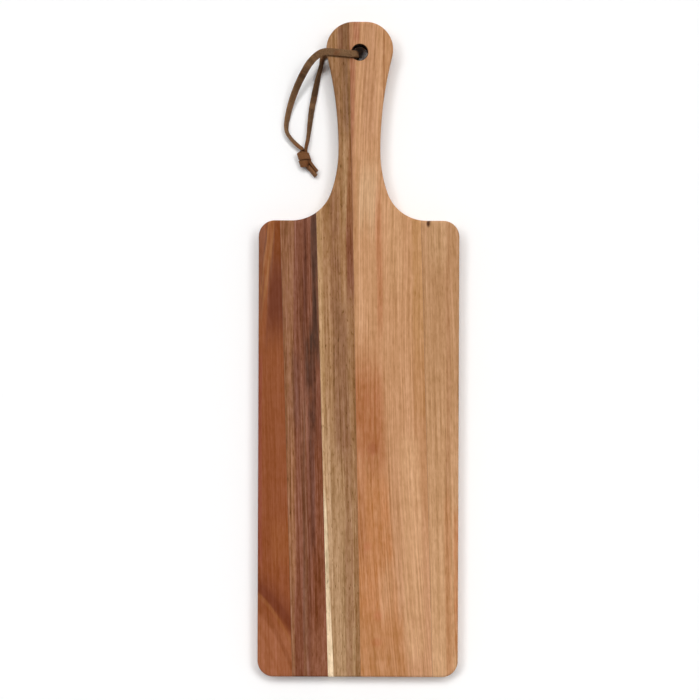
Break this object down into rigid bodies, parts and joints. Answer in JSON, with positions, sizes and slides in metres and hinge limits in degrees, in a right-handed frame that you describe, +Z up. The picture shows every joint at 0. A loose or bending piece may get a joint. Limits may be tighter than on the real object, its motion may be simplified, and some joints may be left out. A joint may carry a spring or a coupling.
{
  "type": "paddle charcuterie board",
  "caption": "Paddle-shaped charcuterie serving board of edge-glued hardwood staves, with a flared handle, a hang hole and a knotted suede lace.",
  "frame": {"origin": "on the table, under the middle of the board's length and width", "axes": "+X to the right seen from above, +Y along the board towards the handle's end, +Z up out of the serving face"},
  "size_m": [0.15, 0.4901, 0.0203],
  "materials": {
    "red_heartwood": "oiled satin",
    "plum_heartwood": "oiled satin",
    "olive_heartwood": "oiled satin",
    "pink_tan": "oiled satin",
    "golden_tan": "oiled satin",
    "glue": "cured wood glue, sanded flush",
    "suede": "brushed suede"
  },
  "bodies": {
    "board": {"left_edge_stave": "red_heartwood", "left_stave": "plum_heartwood", "handle_left_stave": "olive_heartwood", "handle_right_stave": "pink_tan", "right_edge_stave": "golden_tan", "left_edge_glue_line": "glue", "left_glue_line": "glue", "handle_glue_line": "glue", "right_glue_line": "glue"},
    "lace": {"lace_front_strand": "suede", "lace_back_strand": "suede", "lace_knot": "suede", "lace_short_tail": "suede", "lace_long_tail": "suede"}
  },
  "joints": [
    {"name": "lace_swing", "type": "hinge", "parent": "board", "child": "lace", "pos_m": [0, 0.22195, 0.01005], "axis": [0, -0.0055, 1], "range_deg": [-180, 5]}
  ]
}
